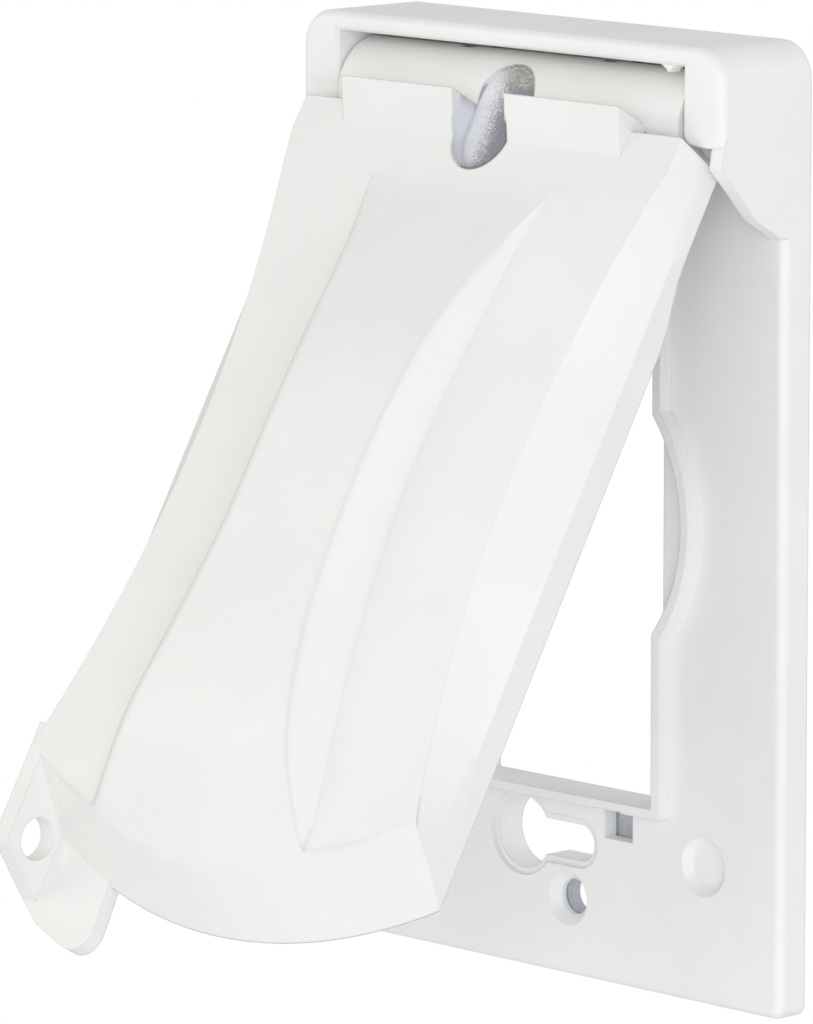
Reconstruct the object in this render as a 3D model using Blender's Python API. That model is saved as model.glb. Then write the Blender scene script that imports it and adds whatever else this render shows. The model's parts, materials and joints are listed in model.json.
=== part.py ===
"""Weatherproof cover for one outlet: a cast wall plate with a hood, and a sprung cast lid that hangs from it.

Run with: blender --background --python part.py
Lengths are in metres. The plate's back lies on y = 0, its front looks towards -Y, and +Z is up.
"""

import math

import bmesh
import bpy
from mathutils import Matrix

MM = 0.001

# Wall plate, placed from its own centre
PLATE_WIDTH = 71.4 * MM
PLATE_HEIGHT = 115.9 * MM
PLATE_DEPTH = 4.33 * MM
PLATE_SKIN = 2.0 * MM
PLATE_WALL = 1.8 * MM
PLATE_TOP_CORNER = 4.5 * MM
PLATE_BOTTOM_CORNER = 1.6 * MM
PLATE_EDGE_ROUND = 1.2 * MM

# Opening for the outlet's face, with a raised collar round it
OPENING_HALF_WIDTH = 16.1 * MM
OPENING_HALF_HEIGHT = 34.95 * MM
OPENING_WALL = 1.7 * MM
BULGE_RADIUS = 20.8 * MM
BULGE_CENTRE_Z = -0.5 * MM
COLLAR_WALL = 1.2 * MM
COLLAR_RISE = 2.0 * MM

# Screw holes and recesses below and above the opening
KEYHOLE_X = -7.9 * MM
KEYHOLE_Z = -41.4 * MM
KEYHOLE_RADIUS = 4.45 * MM
KEYHOLE_SLOT_HALF = 2.25 * MM
KEYHOLE_SLOT_END_X = 4.2 * MM
KEYHOLE_LIP = 0.8 * MM
KEYHOLE_LIP_DEPTH = 0.45 * MM
HOLE_WALL = 1.6 * MM
SCREW_HOLE_Z = -48.4 * MM
SCREW_HOLE_RADIUS = 2.2 * MM
SCREW_SINK_RADIUS = 3.35 * MM
SCREW_SINK_DEPTH = 1.3 * MM
SQUARE_HOLE_X = (6.4 * MM, 11.1 * MM)
SQUARE_HOLE_Z = (-40.0 * MM, -36.0 * MM)
DIMPLE_X = 22.95 * MM
DIMPLE_Z = -41.2 * MM
DIMPLE_RADIUS = 3.6 * MM
DIMPLE_FLOOR_RADIUS = 2.65 * MM
DIMPLE_DEPTH = 1.2 * MM
TOP_SLOT_Z = 41.7 * MM
TOP_SLOT_HALF_LENGTH = 4.0 * MM
TOP_SLOT_HALF_HEIGHT = 2.25 * MM

# Hood over the hinge
HOOD_DEPTH = 14.92 * MM
LINTEL_BOTTOM_Z = 55.6 * MM
CHEEK_INNER_X = 29.25 * MM
CHEEK_BOTTOM_Z = 46.4 * MM
CHEEK_CORNER = 1.6 * MM
CHEEK_HOLLOW_X = (31.05 * MM, 34.0 * MM)
CHEEK_HOLLOW_Z = (50.9 * MM, 56.0 * MM)
CHEEK_HOLLOW_DEPTH = 12.9 * MM
HOOD_EDGE_ROUND = 1.2 * MM
HOOD_MOUTH_ROUND = 0.6 * MM
WEB_THICKNESS = 2.0 * MM
WEB_EDGE = [(-14.92 * MM, 44.0 * MM), (-12.7 * MM, 41.7 * MM), (-9.0 * MM, 37.6 * MM), (-4.8 * MM, 35.2 * MM)]
NIB_X = 26.5 * MM
NIB_WIDTH = 2.6 * MM
NIB_TIP_RADIUS = 0.35 * MM
NIB_DROP = 0.9 * MM
NIB_LENGTH = 1.6 * MM

# Hinge: the pin's axis runs along X
AXIS_Y = -8.6 * MM
AXIS_Z = 48.06 * MM
PIN_RADIUS = 1.6 * MM
PIN_HALF_LENGTH = 32.5 * MM
RUNNING_GAP = 0.05 * MM
PIN_BOSS_RADIUS = 3.9 * MM
REST_OPENING = 30

# Lid, in the lid's own terms: x across, u down the lid from the axis, h outwards from the axis
LID_HALF_WIDTH = 33.3 * MM
LID_WALL = 1.9 * MM
LID_TOP_U = 4.7 * MM
LID_TOP_SLANT = 0.31
LID_BOTTOM_U = 108.0 * MM
LID_ROWS = 32
RIM_H = -0.43 * MM
RIM_TOP_H = 1.2 * MM
RIM_STEP_U = (18.0 * MM, 28.0 * MM)
CREST_H = 8.0 * MM
CREST_TOP_H = 7.7 * MM
CREST_WAIST_X = 26.7 * MM
CREST_WAIST_U = 48.0 * MM
CREST_SPREAD = 3.5
CREST_TOP_LIMIT_X = 31.8 * MM
CREST_LIMIT_X = 33.0 * MM
SIDE_CREASE_H = 3.0 * MM
FLANK_DIP = 0.3 * MM
FLANK_SHARE = (0.2, 0.46)
FLANK_LENGTH = 33.0 * MM
SKIRT_RADIUS = 68.8 * MM
SKIRT_CENTRE_U = 38.05 * MM
SKIRT_TAPER = 0.8
SKIRT_BREAK_H = 6.2 * MM
SKIRT_BREAK_TAPER = 1.9
SKIRT_BREAK_TOP_H = 8.8 * MM
SKIRT_TOP_DRAFT = 0.06
SKIRT_PAST_BACK = 4 * MM
SKIRT_FRONT_H = 18 * MM

# Raised panel down the lid's middle: u, edge x, edge h, foot x, foot h, all in millimetres
PANEL_STATIONS = [
    (13.8, 15.0, 8.0, 15.15, 8.0),
    (20.0, 12.75, 9.7, 14.1, 8.6),
    (26.0, 11.1, 11.4, 13.7, 9.0),
    (32.0, 10.1, 12.7, 13.3, 9.25),
    (38.0, 9.45, 13.7, 12.9, 9.4),
    (50.0, 9.04, 14.45, 12.4, 9.5),
    (62.0, 9.3, 14.5, 13.1, 9.5),
    (74.0, 10.9, 14.5, 14.6, 9.3),
    (86.0, 13.9, 13.4, 16.7, 8.9),
    (92.0, 16.0, 11.3, 17.8, 8.6),
    (98.0, 18.6, 8.3, 18.8, 8.2),
    (108.0, 23.6, 2.6, 23.8, 2.5),
]

# Lid's barrel, stop bars and the small notch between them
BARREL_RADIUS = 6.65 * MM
BARREL_BORE = 4.9 * MM
BARREL_HALF_LENGTH = 28.9 * MM
BARREL_ARC = (-20, 145)
KNUCKLE_RADIUS = 3.9 * MM
KNUCKLE_SETBACK = 5
END_KNUCKLE = 2.0 * MM
MIDDLE_KNUCKLE_HALF = 6.0 * MM
BAR_X = (4.4 * MM, 23.6 * MM)
BAR_PROFILE = [(3.0 * MM, 11.0 * MM), (8.3 * MM, 7.5 * MM), (8.3 * MM, 6.6 * MM), (3.0 * MM, 5.4 * MM)]
NOTCH_HALF_WIDTH = 4.4 * MM
NOTCH_U = (-2.5 * MM, 11.6 * MM)
NOTCH_FLOOR_H = 6.0 * MM
NOTCH_PAD_HALF = 6.2 * MM
NOTCH_PAD_U = (3.0 * MM, 13.4 * MM)
NOTCH_PAD_H = (4.3 * MM, 7.2 * MM)

# Lock tab at the lid's lower left corner
FIN_X = (-33.4 * MM, -31.0 * MM)
FIN_TIP = (102.5 * MM, 6.9 * MM)
FIN_TIP_RADIUS = 1.0 * MM
FIN_TIP_ARC = (80, 25)
FIN_STEP = 0.05 * MM
FIN_ROOT_RISE = 0.2 * MM
FIN_ROOT_U = 88.0 * MM
FIN_FOOT_U = 107.7 * MM
TAB_FRONT_H = 0.1 * MM
TAB_BACK_H = -1.8 * MM
LOCK_HOLE = (101.0 * MM, 3.5 * MM)
LOCK_HOLE_RADIUS = 2.6 * MM
FLANGE_EDGE = [(-33.4 * MM, 107.7 * MM), (-29.4 * MM, 110.3 * MM), (-25.0 * MM, 111.9 * MM)]
FLANGE_TIP = (-22.4 * MM, 109.6 * MM)
FLANGE_TIP_RADIUS = 2.9 * MM
FLANGE_TIP_ARC = (105, 0)
FLANGE_INNER = (-20.0 * MM, 103.0 * MM)

# Foam seals
FOAM_INSIDE = 1.6 * MM
FOAM_OUTSIDE = 3.4 * MM
FOAM_FACE_H = -2.0 * MM
FOAM_BACK_H = 1.0 * MM
FOAM_RIB = 1.8 * MM
TOUCH_GAP = 0.3 * MM

# Torsion springs round the pin
SPRING_WIRE = 0.6 * MM
SPRING_RADIUS = 3.25 * MM
SPRING_START_X = 12.0 * MM
SPRING_END_X = 24.0 * MM
SPRING_FULL_TURNS = 9
SPRING_STEPS_PER_TURN = 16
SPRING_WALL_LEG = 6.4 * MM
SPRING_LID_LEG = 5.9 * MM
SPRING_SLOT_HALF = 1.1 * MM
SPRING_SLOT_ARC = (138, 160)

# Facets on round shapes, and how far a cutter runs past a face
CORNER_STEPS = 6
CIRCLE_STEPS = 32
BULGE_STEPS = 14
SKIRT_STEPS = 160
PAST = 1.0 * MM
CAVITY_PAST_RIM = 3 * MM
ABOVE_LID_H = 16 * MM
MERGE_DISTANCE = 0.001 * MM
SAME_PLACE = 0.01 * MM

COAT = (0.80, 0.80, 0.78)
STEEL = (0.62, 0.62, 0.60)
FOAM = (0.30, 0.32, 0.34)


def clear_scene():
    for item in list(bpy.data.objects):
        bpy.data.objects.remove(item, do_unlink=True)


def new_collection(name):
    collection = bpy.data.collections.new(name)
    bpy.context.scene.collection.children.link(collection)
    return collection


def new_material(name, colour, roughness, metallic):
    material = bpy.data.materials.new(name)
    material.use_nodes = True
    shader = material.node_tree.nodes["Principled BSDF"]
    shader.inputs["Base Color"].default_value = (*colour, 1.0)
    shader.inputs["Roughness"].default_value = roughness
    shader.inputs["Metallic"].default_value = metallic
    material.diffuse_color = (*colour, 1.0)
    return material


def arc(centre, radius, start, end, steps):
    """Points along an arc, its angles in degrees and both its ends included."""
    angles = [math.radians(start + (end - start) * i / steps) for i in range(steps + 1)]
    return [(centre[0] + radius * math.cos(a), centre[1] + radius * math.sin(a)) for a in angles]


def circle(centre, radius):
    return arc(centre, radius, 0, 360, CIRCLE_STEPS)[:-1]


def rectangle(x, z):
    return [(x[0], z[0]), (x[1], z[0]), (x[1], z[1]), (x[0], z[1])]


def rounded_rectangle(half_width, half_height, bottom, top):
    """A rectangle about the centre, with its own corner radius at the bottom and at the top."""
    low = bottom - half_height
    high = half_height - top
    outline = arc((half_width - bottom, low), bottom, -90, 0, CORNER_STEPS)
    outline += arc((half_width - top, high), top, 0, 90, CORNER_STEPS)
    outline += arc((top - half_width, high), top, 90, 180, CORNER_STEPS)
    outline += arc((bottom - half_width, low), bottom, 180, 270, CORNER_STEPS)
    return outline


def top_slot_outline(grow):
    """The upper screw's level slot with round ends, grown outwards all round."""
    reach = TOP_SLOT_HALF_LENGTH - TOP_SLOT_HALF_HEIGHT
    radius = TOP_SLOT_HALF_HEIGHT + grow
    outline = arc((reach, TOP_SLOT_Z), radius, -90, 90, CIRCLE_STEPS // 2)
    outline += arc((-reach, TOP_SLOT_Z), radius, 90, 270, CIRCLE_STEPS // 2)
    return outline


def opening_outline(grow):
    """The opening's rectangle with a round bulge on each side, grown outwards all round."""
    half_width = OPENING_HALF_WIDTH + grow
    half_height = OPENING_HALF_HEIGHT + grow
    radius = BULGE_RADIUS + grow
    meet = math.degrees(math.acos(half_width / radius))
    outline = [(half_width, -half_height)]
    outline += arc((0, BULGE_CENTRE_Z), radius, -meet, meet, BULGE_STEPS)
    outline += [(half_width, half_height), (-half_width, half_height)]
    outline += arc((0, BULGE_CENTRE_Z), radius, 180 - meet, 180 + meet, BULGE_STEPS)
    outline += [(-half_width, -half_height)]
    return outline


def keyhole_outline(grow):
    """A round hole for a screw's head that leads into a slot for its shank."""
    radius = KEYHOLE_RADIUS + grow
    half = KEYHOLE_SLOT_HALF + grow
    meet = math.degrees(math.asin(half / radius))
    outline = arc((KEYHOLE_X, KEYHOLE_Z), radius, meet, 360 - meet, CIRCLE_STEPS)
    outline += arc((KEYHOLE_SLOT_END_X - KEYHOLE_SLOT_HALF, KEYHOLE_Z), half, -90, 90, CIRCLE_STEPS // 2)
    return outline


def solid(name, mesh, collection, parent):
    body = bpy.data.objects.new(name, mesh)
    collection.objects.link(body)
    body.parent = parent
    if collection is cutters:
        body.hide_render = True
        body.display_type = 'WIRE'
    return body


def curve_mesh(name, curve):
    """The mesh of a curve, with its doubled points merged and its faces looking outwards."""
    drawn = bpy.data.objects.new(name, curve)
    bpy.context.scene.collection.objects.link(drawn)
    bpy.context.view_layer.update()
    graph = bpy.context.evaluated_depsgraph_get()
    mesh = bpy.data.meshes.new_from_object(drawn.evaluated_get(graph), depsgraph=graph)
    bpy.data.objects.remove(drawn, do_unlink=True)
    bpy.data.curves.remove(curve)
    mesh.name = name
    form = bmesh.new()
    form.from_mesh(mesh)
    bmesh.ops.remove_doubles(form, verts=form.verts, dist=MERGE_DISTANCE)
    bmesh.ops.recalc_face_normals(form, faces=form.faces)
    form.to_mesh(mesh)
    form.free()
    return mesh


def prism(name, outlines, low, high, axis, collection, parent):
    """A flat outline, with any holes, drawn out from low to high along Y (outline in x, z) or X (in y, z)."""
    curve = bpy.data.curves.new(name, 'CURVE')
    curve.dimensions = '2D'
    curve.fill_mode = 'BOTH'
    curve.extrude = (high - low) / 2
    for outline in outlines:
        spline = curve.splines.new('POLY')
        spline.points.add(len(outline) - 1)
        spline.use_cyclic_u = True
        for point, place in zip(spline.points, outline):
            point.co = (*place, 0, 1)
    mesh = curve_mesh(name, curve)
    middle = (low + high) / 2
    if axis == 'Y':
        turn = Matrix(((1, 0, 0, 0), (0, 0, -1, middle), (0, 1, 0, 0), (0, 0, 0, 1)))
    else:
        turn = Matrix(((0, 0, 1, middle), (1, 0, 0, 0), (0, 1, 0, 0), (0, 0, 0, 1)))
    mesh.transform(turn)
    form = bmesh.new()
    form.from_mesh(mesh)
    if len(outlines) == 1:
        bmesh.ops.dissolve_limit(form, angle_limit=math.radians(0.5), verts=form.verts, edges=form.edges)
    bmesh.ops.recalc_face_normals(form, faces=form.faces)
    form.to_mesh(mesh)
    form.free()
    return solid(name, mesh, collection, parent)


def lid_plate(name, outlines, low_h, high_h, collection, parent):
    """A prism square to the lid: outlines in x and u, drawn out along h."""
    flat = [[(x, -u) for x, u in outline] for outline in outlines]
    return prism(name, flat, -high_h, -low_h, 'Y', collection, parent)


def lid_profile(name, outline, low_x, high_x, collection, parent):
    """A prism across the lid: its outline in u and h, drawn out along x."""
    return prism(name, [[(-h, -u) for u, h in outline]], low_x, high_x, 'X', collection, parent)


def turned(name, place, profile, steps, collection, parent):
    """A solid turned about a line along Y through place (x, z); its profile runs as radius and y."""
    form = bmesh.new()
    points = [form.verts.new((place[0] + radius, y, place[1])) for radius, y in profile]
    edges = [form.edges.new(pair) for pair in zip(points, points[1:])]
    bmesh.ops.spin(form, geom=points + edges, cent=(place[0], 0, place[1]), axis=(0, 1, 0),
                   angle=math.radians(360), steps=steps, use_merge=True)
    bmesh.ops.remove_doubles(form, verts=form.verts, dist=MERGE_DISTANCE)
    bmesh.ops.recalc_face_normals(form, faces=form.faces)
    mesh = bpy.data.meshes.new(name)
    form.to_mesh(mesh)
    form.free()
    return solid(name, mesh, collection, parent)


def is_mouth(edge):
    """Whether an edge of the hood's front runs round the mouth that the lid's barrel fills."""
    return all(abs(v.co.x) <= CHEEK_INNER_X + CHEEK_CORNER + SAME_PLACE and v.co.z <= LINTEL_BOTTOM_Z + SAME_PLACE
               for v in edge.verts)


def round_front(body, front_y, radius, segments, chosen=lambda edge: True):
    """Rounds the chosen edges of a body's front face."""
    form = bmesh.new()
    form.from_mesh(body.data)
    rim = [edge for edge in form.edges
           if all(abs(v.co.y - front_y) < SAME_PLACE for v in edge.verts)
           and edge.calc_face_angle(0) > 1 and chosen(edge)]
    bmesh.ops.bevel(form, geom=rim, offset=radius, segments=segments, profile=0.5, affect='EDGES', material=-1)
    form.to_mesh(body.data)
    form.free()


def mirrored(body):
    """A copy of a body on the other side of the middle plane."""
    mesh = body.data.copy()
    mesh.transform(Matrix.Scale(-1, 4, (1, 0, 0)))
    mesh.flip_normals()
    return solid(body.name + "_mirrored", mesh, body.users_collection[0], body.parent)


def combine(body, operation, *others):
    """One exact Boolean of a body with one form, or with a collection of forms at once."""
    modifier = body.modifiers.new(operation.lower(), 'BOOLEAN')
    modifier.operation = operation
    modifier.solver = 'EXACT'
    if len(others) == 1:
        modifier.object = others[0]
        return
    group = bpy.data.collections.new(body.name + "_" + operation.lower())
    cutters.children.link(group)
    for other in others:
        cutters.objects.unlink(other)
        group.objects.link(other)
    modifier.operand_type = 'COLLECTION'
    modifier.collection = group


def finish(body, material):
    """Settles a body's modifiers into its mesh, and shades its round stretches smooth."""
    bpy.context.view_layer.update()
    graph = bpy.context.evaluated_depsgraph_get()
    mesh = bpy.data.meshes.new_from_object(body.evaluated_get(graph), depsgraph=graph)
    body.modifiers.clear()
    body.data = mesh
    mesh.name = body.name
    form = bmesh.new()
    form.from_mesh(mesh)
    bmesh.ops.remove_doubles(form, verts=form.verts, dist=2 * MERGE_DISTANCE)
    bmesh.ops.dissolve_degenerate(form, edges=form.edges, dist=MERGE_DISTANCE)
    bmesh.ops.triangulate(form, faces=[face for face in form.faces if len(face.verts) > 4])
    form.to_mesh(mesh)
    form.free()
    mesh.shade_smooth()
    mesh.set_sharp_from_angle(angle=math.radians(30))
    mesh.materials.clear()
    mesh.materials.append(material)


def add_base_plate(parent):
    """One casting: the hollow-backed plate, its collar, and the hood with its cheeks and webs."""
    half_width = PLATE_WIDTH / 2
    half_height = PLATE_HEIGHT / 2
    inside = -PLATE_DEPTH + PLATE_EDGE_ROUND
    outline = rounded_rectangle(half_width, half_height, PLATE_BOTTOM_CORNER, PLATE_TOP_CORNER)
    plate = prism("base_plate", [outline], -PLATE_DEPTH, 0, 'Y', parts, parent)
    round_front(plate, -PLATE_DEPTH, PLATE_EDGE_ROUND, 4)

    corner_z = half_height - PLATE_TOP_CORNER
    corner_x = half_width - PLATE_TOP_CORNER
    cheek_x = CHEEK_INNER_X + CHEEK_CORNER
    cheek_z = CHEEK_BOTTOM_Z + CHEEK_CORNER
    arch = [(half_width, CHEEK_BOTTOM_Z)]
    arch += arc((corner_x, corner_z), PLATE_TOP_CORNER, 0, 90, CORNER_STEPS)
    arch += arc((-corner_x, corner_z), PLATE_TOP_CORNER, 90, 180, CORNER_STEPS)
    arch += [(-half_width, CHEEK_BOTTOM_Z)]
    arch += arc((-cheek_x, cheek_z), CHEEK_CORNER, -90, 0, CORNER_STEPS)
    arch += [(-CHEEK_INNER_X, LINTEL_BOTTOM_Z), (CHEEK_INNER_X, LINTEL_BOTTOM_Z)]
    arch += arc((cheek_x, cheek_z), CHEEK_CORNER, 180, 270, CORNER_STEPS)
    hood = prism("hood", [arch], -HOOD_DEPTH, inside, 'Y', cutters, parent)
    round_front(hood, -HOOD_DEPTH, HOOD_MOUTH_ROUND, 3, is_mouth)
    round_front(hood, -HOOD_DEPTH, HOOD_EDGE_ROUND, 4, lambda edge: not is_mouth(edge))
    web_top = CHEEK_BOTTOM_Z + CHEEK_CORNER
    web_edge = WEB_EDGE + [(inside, WEB_EDGE[-1][1]), (inside, web_top), (-HOOD_DEPTH + HOOD_EDGE_ROUND, web_top)]
    web_edge += [(-HOOD_DEPTH + HOOD_EDGE_ROUND / 3, CHEEK_BOTTOM_Z)]
    web = prism("web", [web_edge], half_width - WEB_THICKNESS, half_width, 'X', cutters, parent)
    boss_end = half_width - WEB_THICKNESS / 2
    boss = prism("pin_boss", [circle((AXIS_Y, AXIS_Z), PIN_BOSS_RADIUS)], CHEEK_INNER_X, boss_end, 'X',
                 cutters, parent)
    tip_z = LINTEL_BOTTOM_Z - NIB_DROP + NIB_TIP_RADIUS
    drop = arc((NIB_X, tip_z), NIB_TIP_RADIUS, 180, 360, CORNER_STEPS)
    drop += [(NIB_X + NIB_WIDTH / 2, LINTEL_BOTTOM_Z), (NIB_X + NIB_WIDTH / 2, LINTEL_BOTTOM_Z + NIB_DROP),
             (NIB_X - NIB_WIDTH / 2, LINTEL_BOTTOM_Z + NIB_DROP), (NIB_X - NIB_WIDTH / 2, LINTEL_BOTTOM_Z)]
    nib = prism("nib", [drop], -HOOD_DEPTH + HOOD_MOUTH_ROUND, -HOOD_DEPTH + HOOD_MOUTH_ROUND + NIB_LENGTH,
                'Y', cutters, parent)
    collar = prism("collar", [opening_outline(COLLAR_WALL)], -PLATE_DEPTH - COLLAR_RISE, inside, 'Y',
                   cutters, parent)
    combine(plate, 'UNION', hood, web, mirrored(web), boss, mirrored(boss), nib, collar)

    front = -PLATE_DEPTH - COLLAR_RISE - PAST
    opening_x = (-OPENING_HALF_WIDTH, OPENING_HALF_WIDTH)
    opening_z = (-OPENING_HALF_HEIGHT, OPENING_HALF_HEIGHT)
    wall_x = (-OPENING_HALF_WIDTH - OPENING_WALL, OPENING_HALF_WIDTH + OPENING_WALL)
    wall_z = (-OPENING_HALF_HEIGHT - OPENING_WALL, OPENING_HALF_HEIGHT + OPENING_WALL)
    hollow_outline = rounded_rectangle(half_width - PLATE_WALL, half_height - PLATE_WALL,
                                       PLATE_BOTTOM_CORNER, PLATE_TOP_CORNER - PLATE_WALL)
    skin_back = -PLATE_DEPTH + PLATE_SKIN
    hollow = prism("back_hollow", [hollow_outline], skin_back, PAST, 'Y', cutters, parent)
    island = skin_back - PAST
    combine(hollow, 'DIFFERENCE',
            prism("opening_wall", [rectangle(wall_x, wall_z)], island, 2 * PAST, 'Y', cutters, parent),
            prism("keyhole_wall", [keyhole_outline(HOLE_WALL)], island, 2 * PAST, 'Y', cutters, parent),
            prism("slot_wall", [top_slot_outline(HOLE_WALL)], island, 2 * PAST, 'Y', cutters, parent))
    opening = prism("opening", [rectangle(opening_x, opening_z)], front, PAST, 'Y', cutters, parent)
    bulge = prism("bulge", [opening_outline(0)], front, -PLATE_DEPTH, 'Y', cutters, parent)
    keyhole = prism("keyhole", [keyhole_outline(0)], front, PAST, 'Y', cutters, parent)
    lip = prism("keyhole_lip", [keyhole_outline(KEYHOLE_LIP)], front, -PLATE_DEPTH + KEYHOLE_LIP_DEPTH, 'Y',
                cutters, parent)
    square = prism("square_hole", [rectangle(SQUARE_HOLE_X, SQUARE_HOLE_Z)], front, PAST, 'Y', cutters, parent)
    slot = prism("top_slot", [top_slot_outline(0)], front, PAST, 'Y', cutters, parent)
    sink_back = -PLATE_DEPTH + SCREW_SINK_DEPTH
    screw_profile = [(0, PAST), (SCREW_HOLE_RADIUS, PAST), (SCREW_HOLE_RADIUS, sink_back),
                     (SCREW_SINK_RADIUS, -PLATE_DEPTH), (SCREW_SINK_RADIUS, front), (0, front)]
    screw_hole = turned("screw_hole", (0, SCREW_HOLE_Z), screw_profile, CIRCLE_STEPS, cutters, parent)
    dimple_floor = -PLATE_DEPTH + DIMPLE_DEPTH
    dimple_profile = [(0, dimple_floor), (DIMPLE_FLOOR_RADIUS, dimple_floor), (DIMPLE_RADIUS, -PLATE_DEPTH),
                      (DIMPLE_RADIUS, front), (0, front)]
    dimple = turned("dimple", (DIMPLE_X, DIMPLE_Z), dimple_profile, CIRCLE_STEPS, cutters, parent)
    cheek_hollow = prism("cheek_hollow", [rectangle(CHEEK_HOLLOW_X, CHEEK_HOLLOW_Z)], -CHEEK_HOLLOW_DEPTH, PAST,
                         'Y', cutters, parent)
    saddle_radius = PIN_RADIUS + RUNNING_GAP
    saddle_outline = arc((AXIS_Y, AXIS_Z), saddle_radius, 90, 270, CIRCLE_STEPS // 2)
    saddle_outline += [(PAST, AXIS_Z - saddle_radius), (PAST, AXIS_Z + saddle_radius)]
    saddle = prism("pin_saddle", [saddle_outline], CHEEK_INNER_X - TOUCH_GAP, PIN_HALF_LENGTH + TOUCH_GAP, 'X',
                   cutters, parent)
    combine(plate, 'DIFFERENCE', hollow, opening, bulge, lip, keyhole, square, slot, screw_hole,
            dimple, mirrored(dimple), cheek_hollow, mirrored(cheek_hollow), saddle, mirrored(saddle))
    finish(plate, new_material("plate_coat", COAT, 0.42, 0.0))


def through_stations(u):
    """The panel's edge and foot at one place down the lid, on smooth curves through the stations."""
    places = [row[0] * MM for row in PANEL_STATIONS]
    last = len(places) - 2
    i = max(k for k in range(last + 1) if places[k] <= u + MERGE_DISTANCE)
    span = places[i + 1] - places[i]
    t = (u - places[i]) / span
    values = []
    for column in range(1, len(PANEL_STATIONS[0])):
        value = [row[column] * MM for row in PANEL_STATIONS]
        slope = [(value[k + 1] - value[k]) / (places[k + 1] - places[k]) for k in range(last + 1)]
        start = slope[0] if i == 0 else (slope[i - 1] + slope[i]) / 2
        end = slope[last] if i == last else (slope[i] + slope[i + 1]) / 2
        values.append((2 * t**3 - 3 * t**2 + 1) * value[i] + (t**3 - 2 * t**2 + t) * span * start
                      + (3 * t**2 - 2 * t**3) * value[i + 1] + (t**3 - t**2) * span * end)
    return values


def half_section(u):
    """The lid's outer skin at one place down it, from the panel's edge out to the rim, as x and h."""
    panel_top = PANEL_STATIONS[0][0] * MM
    edge_x, edge_h, foot_x, foot_h = through_stations(max(u, panel_top))
    crest_h = CREST_H - (CREST_H - CREST_TOP_H) * max(0, panel_top - u) / (panel_top - LID_TOP_U)
    if u < panel_top:
        edge_h = crest_h
        foot_h = crest_h
    spread = CREST_SPREAD * (u - CREST_WAIST_U) ** 2
    crest_x = min(CREST_WAIST_X + spread, CREST_TOP_LIMIT_X if u < CREST_WAIST_U else CREST_LIMIT_X)
    reach = max(0, 1 - ((u - CREST_WAIST_U) / FLANK_LENGTH) ** 2)
    share = FLANK_SHARE[0] + (FLANK_SHARE[1] - FLANK_SHARE[0]) * reach
    flank_x = LID_HALF_WIDTH + (crest_x - LID_HALF_WIDTH) * share
    flank_h = SIDE_CREASE_H + (crest_h - SIDE_CREASE_H) * share - FLANK_DIP * reach
    step = min(1, max(0, (u - RIM_STEP_U[0]) / (RIM_STEP_U[1] - RIM_STEP_U[0])))
    rim_h = RIM_TOP_H + (RIM_H - RIM_TOP_H) * step * step * (3 - 2 * step)
    return [(edge_x, edge_h), (foot_x, foot_h), (crest_x, crest_h), (flank_x, flank_h),
            (LID_HALF_WIDTH, SIDE_CREASE_H), (LID_HALF_WIDTH, rim_h)]


def inset(points, depth):
    """A half section moved inwards by a wall's depth, each corner along its own mitre."""
    line = [(-points[0][0], points[0][1])] + points
    moved = []
    for i in range(1, len(line)):
        normals = []
        for a, b in zip(line[i - 1:i + 1], line[i:i + 2]):
            length = math.hypot(b[0] - a[0], b[1] - a[1])
            normals.append(((b[1] - a[1]) / length, (a[0] - b[0]) / length))
        first = normals[0]
        second = normals[-1]
        scale = depth / (1 + first[0] * second[0] + first[1] * second[1])
        moved.append((line[i][0] + (first[0] + second[0]) * scale, line[i][1] + (first[1] + second[1]) * scale))
    return moved


def dome(name, depth, rim_drop, collection, parent):
    """The lid's whole form as a closed loft, or the form that lies a wall's depth inside it."""
    panel_top = PANEL_STATIONS[0][0] * MM
    top = LID_TOP_U + depth
    rows = [top, (top + panel_top) / 2]
    rows += [panel_top + (LID_BOTTOM_U - panel_top) * i / LID_ROWS for i in range(LID_ROWS + 1)]
    form = bmesh.new()
    rings = []
    for row, u in enumerate(rows):
        half = inset(half_section(u), depth) if depth else half_section(u)
        half[-1] = (half[-1][0], half[-1][1] - rim_drop)
        section = [(-x, h) for x, h in reversed(half)] + half
        slant = LID_TOP_SLANT if row == 0 else 0
        rings.append([form.verts.new((x, -h, -u - slant * (CREST_TOP_H - depth - h))) for x, h in section])
    for ring, following in zip(rings, rings[1:]):
        for i in range(len(ring)):
            j = (i + 1) % len(ring)
            form.faces.new((ring[i], ring[j], following[j], following[i]))
    form.faces.new(rings[0])
    form.faces.new(rings[-1])
    bmesh.ops.triangulate(form, faces=form.faces)
    bmesh.ops.recalc_face_normals(form, faces=form.faces)
    mesh = bpy.data.meshes.new(name)
    form.to_mesh(mesh)
    form.free()
    return solid(name, mesh, collection, parent)


def skirt(name, depth, parent):
    """The turned form that shapes the lid's round lower end, with its upper edge broken."""
    back_h = RIM_H - SKIRT_PAST_BACK
    front_h = SKIRT_FRONT_H
    foot = SKIRT_RADIUS - depth * math.hypot(1, SKIRT_TAPER)
    break_h = SKIRT_BREAK_H - depth / 2
    top_h = SKIRT_BREAK_TOP_H - depth / 2
    back = foot + SKIRT_TAPER * (RIM_H - back_h)
    shoulder = foot + SKIRT_TAPER * (RIM_H - break_h)
    top = shoulder + SKIRT_BREAK_TAPER * (break_h - top_h)
    front = top + SKIRT_TOP_DRAFT * (top_h - front_h)
    profile = [(0, -back_h), (back, -back_h), (shoulder, -break_h), (top, -top_h),
               (front, -front_h), (0, -front_h)]
    return turned(name, (0, -SKIRT_CENTRE_U), profile, SKIRT_STEPS, cutters, parent)


def skirt_u(x, inward):
    """How far down the lid its rim reaches at one x, or a line that lies inward of the rim."""
    return SKIRT_CENTRE_U + math.sqrt((SKIRT_RADIUS - inward) ** 2 - x * x)


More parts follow.
